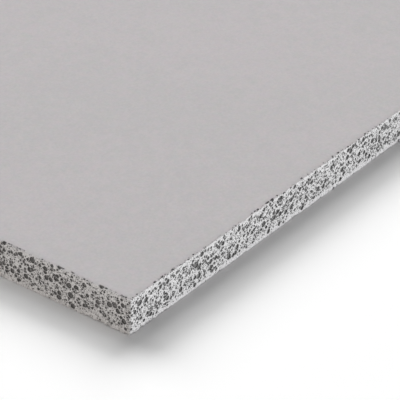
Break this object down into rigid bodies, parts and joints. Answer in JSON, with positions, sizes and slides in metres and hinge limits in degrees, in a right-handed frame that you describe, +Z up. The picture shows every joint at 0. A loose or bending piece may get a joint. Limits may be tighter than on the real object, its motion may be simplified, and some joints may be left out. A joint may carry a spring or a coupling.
{
  "type": "cement board",
  "caption": "Flat lightweight-concrete building board with smooth faces and square sawn edges, laid flat; a backing sheet for tiles, render or cladding",
  "frame": {"origin": "centre of the underside, which lies on the floor", "axes": "+X along the board's length, +Y across its width, +Z up through its thickness"},
  "size_m": [1.25, 1, 0.0125],
  "materials": {
    "lightweight_concrete": "smooth matt cement faces; sawn edges that show dark rounded light aggregate in a pale cement matrix"
  },
  "bodies": {
    "root": {"cement_board": "lightweight_concrete"}
  },
  "joints": []
}
